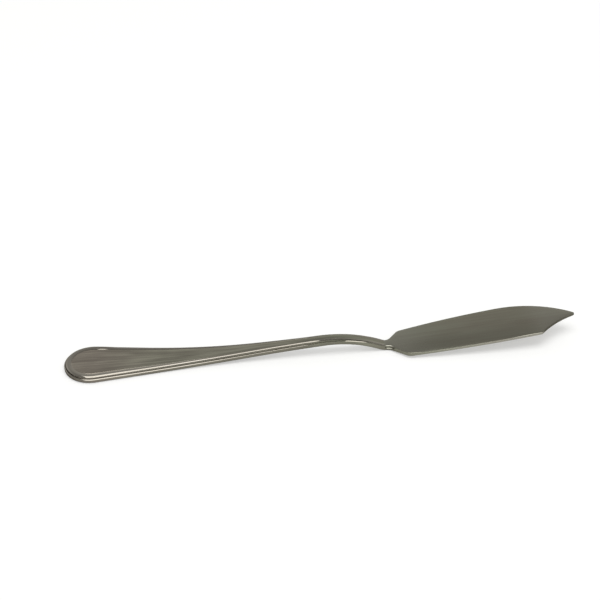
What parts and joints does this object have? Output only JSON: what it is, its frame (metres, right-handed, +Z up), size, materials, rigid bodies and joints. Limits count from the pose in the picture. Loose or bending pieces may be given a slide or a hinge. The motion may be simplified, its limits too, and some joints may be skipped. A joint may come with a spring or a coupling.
{
  "type": "fish knife",
  "caption": "One-piece stainless fish knife with a notched leaf-shaped blade, slim arched neck and spatulate handle with a raised double-thread border.",
  "frame": {"origin": "middle of the knife's length and width, on the surface that it lies on", "axes": "+X from the tail of the handle to the tip of the blade, +Y towards the blade's back, away from the cutting edge and its notch, +Z up, out of the face with the threads"},
  "size_m": [0.2, 0.0236, 0.0082],
  "materials": {
    "blade_steel": "polished stainless steel with faint lengthwise polishing lines",
    "handle_steel": "polished stainless steel, fine lengthwise streaks on the handle's field",
    "thread_steel": "brightly buffed stainless steel on the raised threads"
  },
  "bodies": {
    "root": {"blade": "blade_steel", "neck": "handle_steel", "handle": "handle_steel", "inner_thread": "thread_steel", "outer_thread": "thread_steel"}
  },
  "joints": []
}
